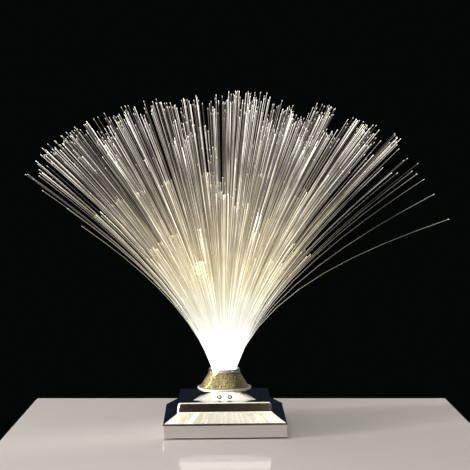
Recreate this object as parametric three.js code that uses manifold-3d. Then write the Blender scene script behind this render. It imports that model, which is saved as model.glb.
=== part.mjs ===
// Fiber optic lamp: a mirror-chrome stepped base with a gold collar, and a lift-out bundle of
// optical fibres lit from below. Millimetres, +Z up, the origin on the floor under the axis.
import * as THREE from "three";
import { mergeVertices } from "three/addons/utils/BufferGeometryUtils.js";
import Module from "manifold-3d";

const wasm = await Module();
wasm.setup();

// Clearances
const fit = 0.25; // between neighbours that sit in or beside each other
const rest = 0.1; // under a piece that lifts or swings off its seat
const overrun = 2; // how far a cutter runs past the faces it cuts

// Housing, from the floor up
const footHeight = 1;
const slabRoom = 1; // between the tallest piece on the control board and the slab's top
const edgeBevel = 0.6;
const skirtRise = 6.1;
const footBand = 0.6; // narrow band where the riser starts
const riserRoom = 0.85; // between the leads behind the tray and the riser
const riserLean = 1.7;
const ceilingRoom = 2.2; // between the leads over the tray and the riser's ceiling
const domeRise = 5.6;
const domeRun = 4.1;
const wall = 1.8;
const cornerChamfer = 0.9;
const domeChamfer = 0.5;

// Collar and its rings
const beadRadius = 0.55;
const collarRoom = 2.75; // between the sleeve's flange and the collar's foot
const neckRoom = 0.4; // between the ferrule's lip and the neck that it lifts through
const collarFlareHeight = 11.2;
const collarNeckHeight = 0.7;
const collarWall = 1.4;
const collarNeckWall = 0.9;
const flarePower = 1.1;
const rimOverhang = 0.25;
const rimHeight = 2.3;
const rimRound = 0.5;

// Socket sleeve, lamp and reflector
const ferruleRadius = 9.65;
const sleeveWall = 1.1;
const sleeveShoulder = 0.8; // thickness of the ledge that the ferrule stands on
const shoulderAperture = 7.6;
const sleeveDrop = 4.2; // how far the sleeve hangs below the dome's top
const sleeveStand = 7.7; // how far it stands above the dome's top
const sleeveFlangeWidth = 3.4;
const sleeveFlangeHeight = 1.2;
const ledBoardThickness = 1.6;
const emitterSide = 5;
const emitterHeight = 1;
const emitterLensRadius = 1.9;
const reflectorWall = 0.8;

// Bundle: ferrule, potted slices and fibres
const ferruleLipWidth = 0.75;
const ferruleLipHeight = 1;
const ferruleLipRound = 0.3;
const potRadius = 7.6;
const potHeight = 3.5;
const potLift = 0.3; // the resin's underside above the ferrule's lower edge
const fibreRadius = 0.3;
const fibreSpacing = 0.73;
const fibreRings = 10;
const fibreLength = 212;
const fibreBend = 80; // length over which a fibre settles to its final slope
const rootTilt = THREE.MathUtils.degToRad(12); // slope of the outermost ring at the resin
const tipTilt = THREE.MathUtils.degToRad(57); // its slope far from the resin
const strayTiltShare = 1.07;
const clumpCount = 96;
const gatherShare = 0.5; // of the way to the middle of its clump
const lengthShares = [1, 0.73, 1, 1, 0.54, 1, 0.44];
const fibreSteps = [4, 4, 4, 4, 3, 4, 3];
const stepPower = 1.3; // a fibre's points lie closer together near its root
const raggedShare = 0.02;
const spreadShare = 0.25; // of the distance between neighbouring fibres

// Bottom plate, battery tray and door
const rimRecess = 0.4; // plate above the housing's lower edge
const plateThickness = 1.8;
const trayWall = 1.2;
const cellRadius = 7.1;
const cellLength = 50.2;
const cellNubRadius = 2.7;
const cellNubHeight = 1.4;
const cellEdge = 0.5;
const cellGap = 0.5;
const contactThickness = 0.4;
const contactHeight = 9;
const contactHalfWidth = 4.2;
const springLength = 3.4;
const springWire = 0.35;
const springFoot = 3.2;
const springTip = 2.2;
const springCurls = 3;
const doorThickness = 1.6;
const doorGap = 0.4;
const doorTabWidth = 6;
const doorTabLength = 1.7;
const doorTabThickness = 1.1;
const doorTabLip = 0.8; // plate left under each hinge tab
const doorTabPlaceShare = 0.6; // of half the door's width
const latchWidth = 12;
const latchLength = 9;
const latchSlot = 1;
const latchRib = 1;
const cradleRib = 1;

// Screws and feet
const cornerInset = 10; // of each foot and screw from the slab's sides
const footRadius = 5;
const footSeat = 0.5;
const footBevel = 0.5;
const screwHeadRadius = 2.7;
const screwHeadHeight = 1.3;
const screwShankRadius = 1.4;
const screwLength = 9;
const bossWall = 1.8;
const plateBossHeight = 1.8;

// Control board and what it carries
const boardDepth = 12.6;
const boardThickness = 1.2;
const boardLift = 1.2;
const socketWidth = 8.9;
const socketHeight = 3.2;
const socketDepth = 7.4;
const socketWall = 0.3;
const socketPlaceShare = 0.55; // of half the board's width
const tongueThickness = 0.7;
const tongueMargin = 0.8;
const tongueBlock = 1.6;
const switchWidth = 8.6;
const switchDepth = 4.6;
const switchHeight = 3.8;
const knobWidth = 3;
const knobHeight = 2;
const knobTravel = 2.5;
const knobProud = 1.2;
const knobRoot = 1;
const knobGroove = 0.35;
const chipLength = 6;
const chipWidth = 4;
const chipHeight = 1.5;
const capacitorRadius = 2.5;
const capacitorLength = 5;

// Receiver and status LED behind the dome's front face
const sensorSpacing = 7.6;
const sensorHeightShare = 0.38; // of the way up the face
const sensorRadius = 1.3;
const sensorFlange = 0.6;
const sensorFlangeHeight = 0.8;
const sensorProud = 0.6;
const sensorBody = 1.6;
const sensorClear = 0.6; // between the face's inner side and the flanges
const sensorBoardMargin = 1.3; // beyond the flanges
const sensorBoardHeight = 6;
const sensorBoardThickness = 1;

// Leads
const leadRadius = 0.6;
const leadClear = 0.5; // between a lead and what it runs along
const ribbonHalfWidth = 2.2;

// Facets
const roundSteps = 36;
const hiddenSteps = 20;
const smallSteps = 12;
const sideSteps = 6;

// Heights and places that follow
const slabBottom = footHeight;
const plateBottom = slabBottom + rimRecess;
const plateTop = plateBottom + plateThickness;
const doorTop = plateBottom + doorThickness;
const cellZ = doorTop + fit + cellRadius;
const cellPitch = 2 * cellRadius + cellGap;
const bayHalfX = cellPitch + cellRadius + cellGap;
const bayHalfY = cellLength / 2 + (springLength + 2 * contactThickness + 2 * fit) / 2;
const trayHalfX = bayHalfX + trayWall;
const trayHalfY = bayHalfY + trayWall;
const trayTop = cellZ + cellRadius + fit + trayWall;
const plateBossTop = plateTop + plateBossHeight;
const boardBottom = plateTop + boardLift;
const boardTop = boardBottom + boardThickness;
const boardFront = trayHalfY + doorTabLength;
const boardBack = boardFront + boardDepth;
const socketX = -trayHalfX * socketPlaceShare;
const switchX = trayHalfX * socketPlaceShare;
const socketZ = boardTop + socketHeight / 2;
const switchZ = boardTop + switchHeight / 2;
const leadGap = leadRadius + leadClear;
const innerHalf = boardBack + fit;
const plateHalf = innerHalf - fit;
const slabHalf = innerHalf + wall;
const cornerPlace = slabHalf - cornerInset;
const slabTop = boardTop + capacitorLength + slabRoom;
const riserFoot = slabTop + skirtRise;
const riserTop = trayTop + 2 * leadGap + ceilingRoom + wall;
const riserTopHalf = trayHalfY + 2 * leadGap + riserRoom + wall;
const skirtTopHalf = riserTopHalf + riserLean;
const sleeveBore = ferruleRadius + fit;
const sleeveOuter = sleeveBore + sleeveWall;
const collarFootRadius = sleeveOuter + sleeveFlangeWidth + collarRoom + collarWall;
const beadPath = collarFootRadius + fit + beadRadius;
const domeTopRadius = beadPath + beadRadius - edgeBevel / 2;
const domeFootHalf = domeTopRadius + domeRun;
const domeTop = riserTop + domeRise;
const shoulderTop = domeTop + sleeveShoulder;
const sleeveTop = domeTop + sleeveStand;
const sleeveBottom = domeTop - sleeveDrop;
const ferruleBottom = shoulderTop + rest;
const ferruleLipBottom = sleeveTop + rest;
const ferruleTop = ferruleLipBottom + ferruleLipHeight;
const potBottom = ferruleBottom + potLift;
const potTop = potBottom + potHeight;
const collarNeckRadius = ferruleRadius + ferruleLipWidth + neckRoom + collarNeckWall;
const collarFlareBottom = domeTop + beadRadius;
const collarFlareTop = collarFlareBottom + collarFlareHeight;
const collarTop = collarFlareTop + collarNeckHeight;
const rimOuter = collarNeckRadius + rimOverhang;
const rimInner = collarNeckRadius - collarNeckWall;

// Materials
const paint = (color, roughness, metalness) =>
  new THREE.MeshStandardMaterial({ color, roughness, metalness });
const chrome = paint(0xe8e8ea, 0.06, 1);
const gold = paint(0xc9a74e, 0.35, 1);
const steel = paint(0xb9bcc0, 0.3, 1);
const black = paint(0x17171a, 0.5, 0);
const rubber = paint(0x202022, 0.9, 0);
const white = paint(0xf2f0ea, 0.4, 0);
const boardGreen = paint(0x1f5b35, 0.5, 0);
const darkLens = paint(0x2a0f14, 0.1, 0);
const redLens = paint(0xc02a22, 0.15, 0);
const sleeveBlue = paint(0x28438c, 0.4, 0);
const redWire = paint(0xb3261e, 0.5, 0);
const greyWire = paint(0x9a9a9c, 0.5, 0);
const glow = paint(0xf6ead0, 0.25, 0);

const lamp = new THREE.Group();

function add(name, geometry, material, parent = lamp) {
  const mesh = new THREE.Mesh(geometry, material);
  mesh.name = name;
  parent.add(mesh);
  return mesh;
}

// Solids for cutting and joining
function solid(geometry) {
  const bare = geometry.clone();
  bare.deleteAttribute("normal");
  bare.deleteAttribute("uv");
  const merged = mergeVertices(bare);
  return new wasm.Manifold(
    new wasm.Mesh({
      numProp: 3,
      vertProperties: merged.attributes.position.array,
      triVerts: new Uint32Array(merged.index.array),
    }),
  );
}

function geometryOf(made) {
  const mesh = made.getMesh();
  return new THREE.BufferGeometry()
    .setAttribute("position", new THREE.BufferAttribute(mesh.vertProperties, 3))
    .setIndex(new THREE.BufferAttribute(mesh.triVerts, 1));
}

const joined = (first, ...others) =>
  geometryOf(others.reduce((all, each) => all.add(solid(each)), solid(first)));
const cut = (first, ...others) =>
  geometryOf(others.reduce((all, each) => all.subtract(solid(each)), solid(first)));
const common = (first, second) => geometryOf(solid(first).intersect(solid(second)));

// A box between two values on each axis
function block(x0, x1, y0, y1, z0, z1) {
  return new THREE.BoxGeometry(x1 - x0, y1 - y0, z1 - z0).translate(
    (x0 + x1) / 2,
    (y0 + y1) / 2,
    (z0 + z1) / 2,
  );
}

// A turned piece: [radius, height] pairs, counterclockwise in that plane
function turned(profile, steps = roundSteps) {
  const points = profile.map(([radius, height]) => new THREE.Vector2(radius, height));
  return new THREE.LatheGeometry(points, steps).rotateX(Math.PI / 2);
}

// A turned ring closes its profile on itself
const turnedRing = (profile, steps) => turned([...profile, profile[0]], steps);

function rod(radius, z0, z1, steps = smallSteps) {
  return turned([[0, z0], [radius, z0], [radius, z1], [0, z1]], steps);
}

// A rounded slot shape, extruded along +Y from y0 to y1
function slotBlock(width, height, y0, y1, z) {
  const round = height / 2;
  const straight = width / 2 - round;
  const shape = new THREE.Shape();
  shape.absarc(straight, 0, round, -Math.PI / 2, Math.PI / 2);
  shape.absarc(-straight, 0, round, Math.PI / 2, (3 * Math.PI) / 2);
  return new THREE.ExtrudeGeometry(shape, {
    depth: y1 - y0,
    bevelEnabled: false,
    curveSegments: sideSteps,
  })
    .rotateX(Math.PI / 2)
    .translate(0, y1, z);
}

// One level of the housing: a square with chamfered corners, drawn some way to a circle
function outline({ half, z, chamfer, round = 0 }) {
  const corner = Math.atan2(half - chamfer, half);
  const centre = new THREE.Vector2();
  const points = [];
  for (let side = 0; side < 4; side++)
    for (let i = 0; i <= sideSteps; i++) {
      const angle = corner * ((2 * i) / sideSteps - 1);
      const circle = new THREE.Vector2(half, 0).rotateAround(centre, angle);
      const point = new THREE.Vector2(half, half * Math.tan(angle)).lerp(circle, round);
      point.rotateAround(centre, (side * Math.PI) / 2);
      points.push(new THREE.Vector3(point.x, point.y, z));
    }
  return points;
}

function loft(levels) {
  const rings = levels.map(outline);
  const count = rings[0].length;
  const points = rings.flat();
  const last = points.length - count;
  const index = [];
  for (let level = 0; level < levels.length - 1; level++)
    for (let i = 0; i < count; i++) {
      const a = level * count + i;
      const b = level * count + ((i + 1) % count);
      index.push(a, b, b + count, a, b + count, a + count);
    }
  const bottom = points.push(new THREE.Vector3(0, 0, levels[0].z)) - 1;
  const top = points.push(new THREE.Vector3(0, 0, levels.at(-1).z)) - 1;
  for (let i = 0; i < count; i++) {
    const next = (i + 1) % count;
    index.push(bottom, next, i, top, last + i, last + next);
  }
  return new THREE.BufferGeometry().setFromPoints(points).setIndex(index);
}

// The inside of a profile of levels: each straight moved in by the wall, then joined again
function inset(levels, thickness) {
  const sides = levels.slice(1).map((level, i) => {
    const along = new THREE.Vector2(level.half - levels[i].half, level.z - levels[i].z);
    const inward = new THREE.Vector2(-along.y, along.x).setLength(thickness);
    return { start: new THREE.Vector2(levels[i].half, levels[i].z).add(inward), along };
  });
  return levels.map((level, i) => {
    const before = sides[Math.max(i - 1, 0)];
    const after = sides[Math.min(i, sides.length - 1)];
    const turn = before.along.cross(after.along);
    const gap = after.start.clone().sub(before.start);
    const reach = turn ? gap.cross(after.along) / turn : i ? 1 : 0;
    const point = before.start.clone().addScaledVector(before.along, reach);
    return { ...level, half: point.x, z: point.y };
  });
}

// Housing
const corner = cornerChamfer;
const outerLevels = [
  { half: slabHalf - edgeBevel, z: slabBottom, chamfer: corner },
  { half: slabHalf, z: slabBottom + edgeBevel, chamfer: corner },
  { half: slabHalf, z: slabTop - edgeBevel, chamfer: corner },
  { half: slabHalf - edgeBevel, z: slabTop, chamfer: corner },
  { half: skirtTopHalf, z: riserFoot, chamfer: corner },
  { half: skirtTopHalf - footBand, z: riserFoot + footBand, chamfer: corner },
  { half: riserTopHalf, z: riserTop - edgeBevel, chamfer: corner },
  { half: riserTopHalf - edgeBevel, z: riserTop, chamfer: corner },
  { half: domeFootHalf, z: riserTop, chamfer: domeChamfer },
  { half: domeTopRadius, z: domeTop, chamfer: domeChamfer, round: 1 },
];
const hollowLevels = inset(
  [
    { half: slabHalf, z: slabBottom - overrun, chamfer: corner },
    { half: slabHalf, z: slabTop, chamfer: corner },
    { half: skirtTopHalf - footBand, z: riserFoot, chamfer: corner },
    { half: riserTopHalf, z: riserTop, chamfer: corner },
    { half: domeFootHalf, z: riserTop, chamfer: domeChamfer },
    { half: domeTopRadius, z: domeTop, chamfer: domeChamfer, round: 1 },
    { half: sleeveOuter, z: domeTop, chamfer: domeChamfer, round: 1 },
  ],
  wall,
);

// The frame of the dome's front face: its own Z points out of the face
const faceTilt = Math.atan2(domeRise, domeFootHalf - domeTopRadius);
const face = new THREE.Group();
face.position.set(
  0,
  -THREE.MathUtils.lerp(domeFootHalf, domeTopRadius, sensorHeightShare),
  THREE.MathUtils.lerp(riserTop, domeTop, sensorHeightShare),
);
face.rotation.x = faceTilt;
face.updateMatrix();
lamp.add(face);
const sensorPlaces = [-sensorSpacing / 2, sensorSpacing / 2];
const sensorHole = (x) =>
  rod(sensorRadius + fit, -wall - overrun, overrun).translate(x, 0, 0).applyMatrix4(face.matrix);

const corners = [[-1, -1], [1, -1], [1, 1], [-1, 1]].map(([x, y]) => [
  x * cornerPlace,
  y * cornerPlace,
]);
const bossRadius = screwShankRadius + fit + bossWall;
const boss = ([x, y]) =>
  common(rod(bossRadius, plateBossTop, riserFoot), loft(outerLevels).translate(-x, -y, 0))
    .translate(x, y, 0);
const pilot = ([x, y]) =>
  rod(screwShankRadius + fit, slabBottom, plateBossTop + screwLength).translate(x, y, 0);
const knobSlotHalf = (knobWidth + knobTravel) / 2 + fit;
const switchCut = block(
  switchX - knobSlotHalf,
  switchX + knobSlotHalf,
  innerHalf - overrun,
  slabHalf + overrun,
  switchZ - knobHeight / 2 - fit,
  switchZ + knobHeight / 2 + fit,
);
const socketCut = slotBlock(
  socketWidth + 2 * fit,
  socketHeight + 2 * fit,
  innerHalf - overrun,
  slabHalf + overrun,
  socketZ,
).translate(socketX, 0, 0);
const hollowHousing = cut(loft(outerLevels), loft(hollowLevels));
add(
  "base_shell",
  cut(
    joined(hollowHousing, ...corners.map(boss)),
    ...corners.map(pilot),
    rod(sleeveOuter + fit, riserTop, domeTop + overrun, roundSteps),
    ...sensorPlaces.map(sensorHole),
    socketCut,
    switchCut,
  ),
  chrome,
);

// Collar: a flare by a power of the height, bead ring at its foot, rim ring on its neck
const flare = (share, foot, neck) => neck + (foot - neck) * (1 - share) ** flarePower;
const flareShares = [0, 0.2, 0.45, 0.75, 1];
const flareSide = (foot, neck) =>
  flareShares.map((share) => [
    flare(share, foot, neck),
    collarFlareBottom + share * collarFlareHeight,
  ]);
add(
  "collar",
  turnedRing([
    [collarFootRadius - collarWall, domeTop],
    [collarFootRadius, domeTop],
    ...flareSide(collarFootRadius, collarNeckRadius),
    [collarNeckRadius, collarTop],
    [rimInner, collarTop],
    ...flareSide(collarFootRadius - collarWall, rimInner).reverse(),
  ]),
  gold,
);
const beadSteps = 6;
const bead = Array.from({ length: beadSteps }, (_, i) => {
  const angle = (2 * Math.PI * i) / beadSteps;
  const reach = beadRadius / Math.cos(Math.PI / beadSteps);
  const height = domeTop + beadRadius + reach * Math.sin(angle);
  return [beadPath + reach * Math.cos(angle), height];
});
add("foot_ring", turnedRing(bead), chrome);
add(
  "top_rim",
  turnedRing([
    [rimInner, collarTop],
    [collarNeckRadius, collarTop],
    [rimOuter, collarTop + rimRound],
    [rimOuter, collarTop + rimHeight - rimRound],
    [rimOuter - rimRound, collarTop + rimHeight],
    [rimInner + rimRound / 2, collarTop + rimHeight],
    [rimInner, collarTop + rimHeight - rimRound / 2],
  ]),
  chrome,
);

// Socket sleeve with the ledge that the ferrule stands on, reflector, LED and its board
add(
  "socket_sleeve",
  turnedRing([
    [sleeveBore, sleeveBottom],
    [sleeveOuter, sleeveBottom],
    [sleeveOuter, domeTop],
    [sleeveOuter + sleeveFlangeWidth, domeTop],
    [sleeveOuter + sleeveFlangeWidth, domeTop + sleeveFlangeHeight],
    [sleeveOuter, domeTop + sleeveFlangeHeight],
    [sleeveOuter, sleeveTop],
    [sleeveBore, sleeveTop],
    [sleeveBore, shoulderTop],
    [shoulderAperture, shoulderTop],
    [shoulderAperture, domeTop],
    [sleeveBore, domeTop],
  ], hiddenSteps),
  black,
);
const cupFoot = emitterSide / Math.SQRT2 + fit;
const cupMouth = sleeveBore - fit;
add(
  "reflector_cup",
  turnedRing([
    [cupFoot, sleeveBottom + fit],
    [cupFoot + reflectorWall, sleeveBottom + fit],
    [cupMouth, domeTop - reflectorWall],
    [cupMouth, domeTop - fit],
    [cupMouth - reflectorWall, domeTop - fit],
  ], hiddenSteps),
  white,
);
add("led_board", rod(sleeveOuter - fit, sleeveBottom - ledBoardThickness, sleeveBottom), white);
const emitterTop = sleeveBottom + emitterHeight;
const emitterHalf = emitterSide / 2;
const lensShares = [0, 1 / 3, 2 / 3, 1];
const emitterLens = turned(
  [
    [0, sleeveBottom + rest],
    ...lensShares.map((share) => [
      emitterLensRadius * Math.cos((share * Math.PI) / 2),
      emitterTop + emitterLensRadius * Math.sin((share * Math.PI) / 2),
    ]),
  ],
  smallSteps,
);
add(
  "led_emitter",
  joined(
    block(-emitterHalf, emitterHalf, -emitterHalf, emitterHalf, sleeveBottom, emitterTop),
    emitterLens,
  ),
  glow,
);

// Receiver, status LED and their small board, in the frame of the front face
const sensorBack = -wall - sensorClear - sensorFlangeHeight;
const sensorDome = (depth) =>
  turned(
    [
      [0, depth],
      [sensorRadius + sensorFlange, depth],
      [sensorRadius + sensorFlange, -wall - sensorClear],
      [sensorRadius, -wall - sensorClear],
      [sensorRadius, 0],
      [sensorRadius * Math.SQRT1_2, sensorProud * Math.SQRT1_2],
      [0, sensorProud],
    ],
    smallSteps,
  );
const bodyHalf = sensorRadius + sensorFlange;
const sensorBlock = block(
  -bodyHalf,
  bodyHalf,
  -bodyHalf,
  bodyHalf,
  sensorBack - sensorBody,
  sensorBack + sensorFlangeHeight / 2,
);
const receiver = joined(sensorBlock, sensorDome(sensorBack));
add("ir_receiver", receiver.translate(sensorPlaces[0], 0, 0), darkLens, face);
const statusBack = sensorBack - sensorBody;
add("status_led", sensorDome(statusBack).translate(sensorPlaces[1], 0, 0), redLens, face);
const boardFace = statusBack - fit - sensorBoardThickness;
const sensorBoardHalf = sensorSpacing / 2 + bodyHalf + sensorBoardMargin;
const sensorBoard = block(
  -sensorBoardHalf,
  sensorBoardHalf,
  -sensorBoardHeight / 2,
  sensorBoardHeight / 2,
  boardFace,
  statusBack - fit,
);
add("receiver_board", sensorBoard, boardGreen, face);

// Bottom plate with the battery tray, door notches, board ribs, screw bosses and foot seats
const doorHalfX = bayHalfX - doorGap;
const doorHalfY = bayHalfY - doorGap;
const tabX = doorHalfX * doorTabPlaceShare;
const tabBottom = plateBottom + doorTabLip;
const tabSwing = doorTabLength + doorTabLip + doorTabThickness + 2 * fit;
const tray = cut(
  block(-trayHalfX, trayHalfX, -trayHalfY, trayHalfY, plateBottom, trayTop),
  block(-bayHalfX, bayHalfX, -bayHalfY, bayHalfY, plateBottom - overrun, trayTop - trayWall),
);
const plateSheet = cut(
  loft([
    { half: plateHalf, z: plateBottom, chamfer: corner },
    { half: plateHalf, z: plateTop, chamfer: corner },
  ]),
  block(-bayHalfX, bayHalfX, -bayHalfY, bayHalfY, plateBottom - overrun, plateTop + overrun),
);
const footTop = plateBottom + footSeat;
const headSeat = footTop + screwHeadHeight + 2 * rest;
const plateBoss = ([x, y]) => rod(footRadius, plateTop - rest, plateBossTop - rest).translate(x, y, 0);
const footPocket = ([x, y]) =>
  rod(footRadius + fit, plateBottom - overrun, footTop, hiddenSteps).translate(x, y, 0);
const headPocket = ([x, y]) =>
  rod(screwHeadRadius + fit, footTop - rest, headSeat).translate(x, y, 0);
const shankHole = ([x, y]) =>
  rod(screwShankRadius + fit, footTop, plateBossTop + overrun).translate(x, y, 0);
const tabHalf = doorTabWidth / 2 + fit;
const tabNotch = (x) =>
  block(
    x - tabHalf,
    x + tabHalf,
    bayHalfY - overrun,
    trayHalfY + doorTabLength,
    tabBottom - fit,
    tabBottom + tabSwing,
  );
const boardRib = (x) =>
  block(x - trayWall / 2, x + trayWall / 2, boardFront, boardBack, plateTop - rest, boardBottom);
add(
  "bottom_plate",
  cut(
    joined(
      plateSheet,
      tray,
      ...corners.map(plateBoss),
      ...[-trayHalfX, 0, trayHalfX].map((x) => boardRib(x * (1 - trayWall / trayHalfX))),
    ),
    ...corners.flatMap((place) => [footPocket(place), headPocket(place), shankHole(place)]),
    tabNotch(-tabX),
    tabNotch(tabX),
  ),
  black,
);

// Battery door: a sheet with cradle ribs, two hinge tabs at the back and a latch tongue in front
const latchHalf = latchWidth / 2;
const latchTip = -doorHalfY;
const latchCuts = [-latchHalf, latchHalf - latchSlot].map((x) =>
  block(
    x,
    x + latchSlot,
    latchTip - overrun,
    latchTip + latchLength,
    plateBottom - overrun,
    doorTop + overrun,
  ),
);
const cradle = (x) =>
  block(
    x - cradleRib / 2,
    x + cradleRib / 2,
    latchTip + latchLength + latchSlot,
    doorHalfY - latchLength,
    doorTop - rest,
    doorTop + cradleRib,
  );
const tab = (x) =>
  block(
    x - doorTabWidth / 2,
    x + doorTabWidth / 2,
    doorHalfY - doorTabLength,
    doorHalfY + doorGap + doorTabLength,
    tabBottom,
    tabBottom + doorTabThickness,
  );
const latchGrip = block(
  -latchHalf + 2 * latchSlot,
  latchHalf - 2 * latchSlot,
  latchTip,
  latchTip + latchRib,
  doorTop - rest,
  doorTop + latchRib,
);
add(
  "battery_door",
  cut(
    joined(
      block(-doorHalfX, doorHalfX, -doorHalfY, doorHalfY, plateBottom, doorTop),
      cradle(-cellPitch / 2),
      cradle(cellPitch / 2),
      tab(-tabX),
      tab(tabX),
      latchGrip,
    ),
    ...latchCuts,
  ),
  black,
);

// Cells lie along Y; the middle one faces the other way
const cellShape = turned(
  [
    [0, 0],
    [cellRadius - cellEdge, 0],
    [cellRadius, cellEdge],
    [cellRadius, cellLength - cellNubHeight - cellEdge],
    [cellRadius - cellEdge, cellLength - cellNubHeight],
    [cellNubRadius, cellLength - cellNubHeight],
    [cellNubRadius, cellLength],
    [0, cellLength],
  ],
  hiddenSteps,
).rotateX(-Math.PI / 2);
const plusY = bayHalfY - contactThickness - fit;
for (const [i, turn] of [1, -1, 1].entries()) {
  const cell = cellShape.clone();
  if (turn < 0) cell.rotateZ(Math.PI);
  cell.translate((i - 1) * cellPitch, turn * (plusY - cellLength), cellZ);
  add(`cell_${i + 1}`, cell, sleeveBlue);
}

// A conical spring along Y: one unbroken wire that shrinks from its foot to its tip
class SpringPath extends THREE.Curve {
  getPoint(share, target = new THREE.Vector3()) {
    const angle = share * springCurls * 2 * Math.PI;
    const radius = THREE.MathUtils.lerp(springFoot, springTip, share);
    const reach = springLength - springWire;
    return target.set(radius * Math.cos(angle), share * reach, radius * Math.sin(angle));
  }
}
const wireSection = new THREE.Shape().absarc(0, 0, springWire, 0, 2 * Math.PI);
const spring = new THREE.ExtrudeGeometry(wireSection, {
  steps: 8 * springCurls,
  bevelEnabled: false,
  curveSegments: 3,
  extrudePath: new SpringPath(),
});

// Contacts: each end of the tray has plates that touch a nub or carry a spring
const platesY = bayHalfY - contactThickness;
const contactPlate = (x0, x1) =>
  block(
    x0 - contactHalfWidth,
    x1 + contactHalfWidth,
    platesY,
    bayHalfY - rest / 2,
    cellZ - contactHeight / 2,
    cellZ + contactHeight / 2,
  );
const contactSpring = (x) =>
  spring
    .clone()
    .rotateZ(Math.PI)
    .translate(x, platesY - springWire / 2, cellZ);
const springContact = (x0, x1, x) => joined(contactPlate(x0, x1), contactSpring(x));
add("contact_plus", contactPlate(cellPitch, cellPitch), steel);
add("contact_bridge_back", springContact(-cellPitch, 0, 0), steel);
add("contact_minus", springContact(cellPitch, cellPitch, cellPitch).rotateZ(Math.PI), steel);
add("contact_bridge_front", springContact(-cellPitch, 0, -cellPitch).rotateZ(Math.PI), steel);

// Feet and screws
const footShape = turned(
  [
    [0, 0],
    [footRadius - footBevel, 0],
    [footRadius, footBevel],
    [footRadius, footTop],
    [0, footTop],
  ],
  hiddenSteps,
);
const headBottom = footTop + rest;
const screwShape = turned(
  [
    [0, headBottom],
    [screwHeadRadius, headBottom],
    [screwHeadRadius, headBottom + screwHeadHeight],
    [screwShankRadius, headBottom + screwHeadHeight],
    [screwShankRadius, headBottom + screwLength],
    [0, headBottom + screwLength + screwShankRadius],
  ],
  smallSteps,
);
corners.forEach(([x, y], i) => {
  add(`foot_${i + 1}`, footShape, rubber).position.set(x, y, 0);
  add(`screw_${i + 1}`, screwShape, steel).position.set(x, y, 0);
});

// Control board with its chip and capacitor, behind the tray
add(
  "control_board",
  block(-trayHalfX, trayHalfX, boardFront, boardBack, boardBottom, boardTop),
  boardGreen,
);
const boardMiddle = (boardFront + boardBack) / 2;
const chipTop = boardTop + chipHeight;
const chip = block(
  -chipLength / 2,
  chipLength / 2,
  boardMiddle - chipWidth / 2,
  boardMiddle + chipWidth / 2,
  boardTop,
  chipTop,
);
add("control_chip", chip, black);
const capacitorX = -(trayHalfX + socketPlaceShare * trayHalfX + socketWidth / 2) / 2;
const capacitor = rod(capacitorRadius, boardTop, boardTop + capacitorLength);
capacitor.translate(capacitorX, boardBack - capacitorRadius - fit, 0);
add("capacitor", capacitor, sleeveBlue);

// Power socket: a rounded steel shell whose mouth lies in the back wall, and its tongue
const socketBack = slabHalf - edgeBevel - socketDepth;
const socketInnerWidth = socketWidth - 2 * socketWall;
const socketInnerHeight = socketHeight - 2 * socketWall;
const socketShell = cut(
  slotBlock(socketWidth, socketHeight, socketBack, slabHalf - edgeBevel, socketZ),
  slotBlock(socketInnerWidth, socketInnerHeight, socketBack - overrun, slabHalf, socketZ),
);
add("power_socket", socketShell.translate(socketX, 0, 0), steel);
const tongueHalf = socketInnerWidth / 2 - tongueMargin;
const tongue = joined(
  slotBlock(
    socketInnerWidth - 2 * rest,
    socketInnerHeight - 2 * rest,
    socketBack,
    socketBack + tongueBlock,
    socketZ,
  ),
  block(
    -tongueHalf,
    tongueHalf,
    socketBack,
    slabHalf - edgeBevel - tongueMargin,
    socketZ - tongueThickness / 2,
    socketZ + tongueThickness / 2,
  ),
);
add("power_tongue", tongue.translate(socketX, 0, 0), black);

// Slide switch: the body behind the wall, the knob through it, with grip grooves at its end
const switchFront = innerHalf - fit;
add(
  "switch_body",
  cut(
    block(
      switchX - switchWidth / 2,
      switchX + switchWidth / 2,
      switchFront - switchDepth,
      switchFront,
      boardTop,
      boardTop + switchHeight,
    ),
    block(
      switchX - knobSlotHalf,
      switchX + knobSlotHalf,
      switchFront - knobRoot - fit,
      switchFront + overrun,
      switchZ - knobHeight / 2 - fit,
      switchZ + knobHeight / 2 + fit,
    ),
  ),
  steel,
);
const knobBack = switchFront - knobRoot;
const knobEnd = slabHalf + knobProud;
const knobOutline = new THREE.Shape();
knobOutline.moveTo(-knobWidth / 2, knobBack);
knobOutline.lineTo(knobWidth / 2, knobBack);
const gripShares = [1, 2 / 3, 1 / 3, 0, -1 / 3, -2 / 3, -1];
gripShares.forEach((share, i) =>
  knobOutline.lineTo((share * knobWidth) / 2, knobEnd - (i % 2 ? knobGroove : 0)),
);
const knob = new THREE.ExtrudeGeometry(knobOutline, { depth: knobHeight, bevelEnabled: false });
knob.translate(switchX - knobTravel / 2, 0, switchZ - knobHeight / 2);
add("switch_knob", knob, black);

// Leads: round ones from the battery contacts, flat ones to the LED board and the receiver board
function lead(points, halfWidth) {
  const section = new THREE.Shape();
  section.absarc(halfWidth, 0, leadRadius, -Math.PI / 2, Math.PI / 2);
  section.absarc(-halfWidth, 0, leadRadius, Math.PI / 2, (3 * Math.PI) / 2);
  const places = points.map((point) => new THREE.Vector3(...point));
  const path = new THREE.CatmullRomCurve3(places, false, "centripetal");
  return new THREE.ExtrudeGeometry(section, {
    steps: Math.ceil(path.getLength() / (5 * leadRadius)),
    bevelEnabled: false,
    curveSegments: 2,
    extrudePath: path,
  });
}
const leadDropY = trayHalfY + leadGap;
const leadBoardY = boardFront + 2 * leadRadius;
const leadTrayZ = trayTop + leadGap;
const aroundEdge = leadGap * Math.sin(Math.PI / 3);
const ribbonX = ribbonHalfWidth + leadGap;
const boardLanding = (x) => [
  [x, leadBoardY, boardTop + 4 * leadRadius],
  [x, leadBoardY, boardTop + fit],
];
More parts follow.
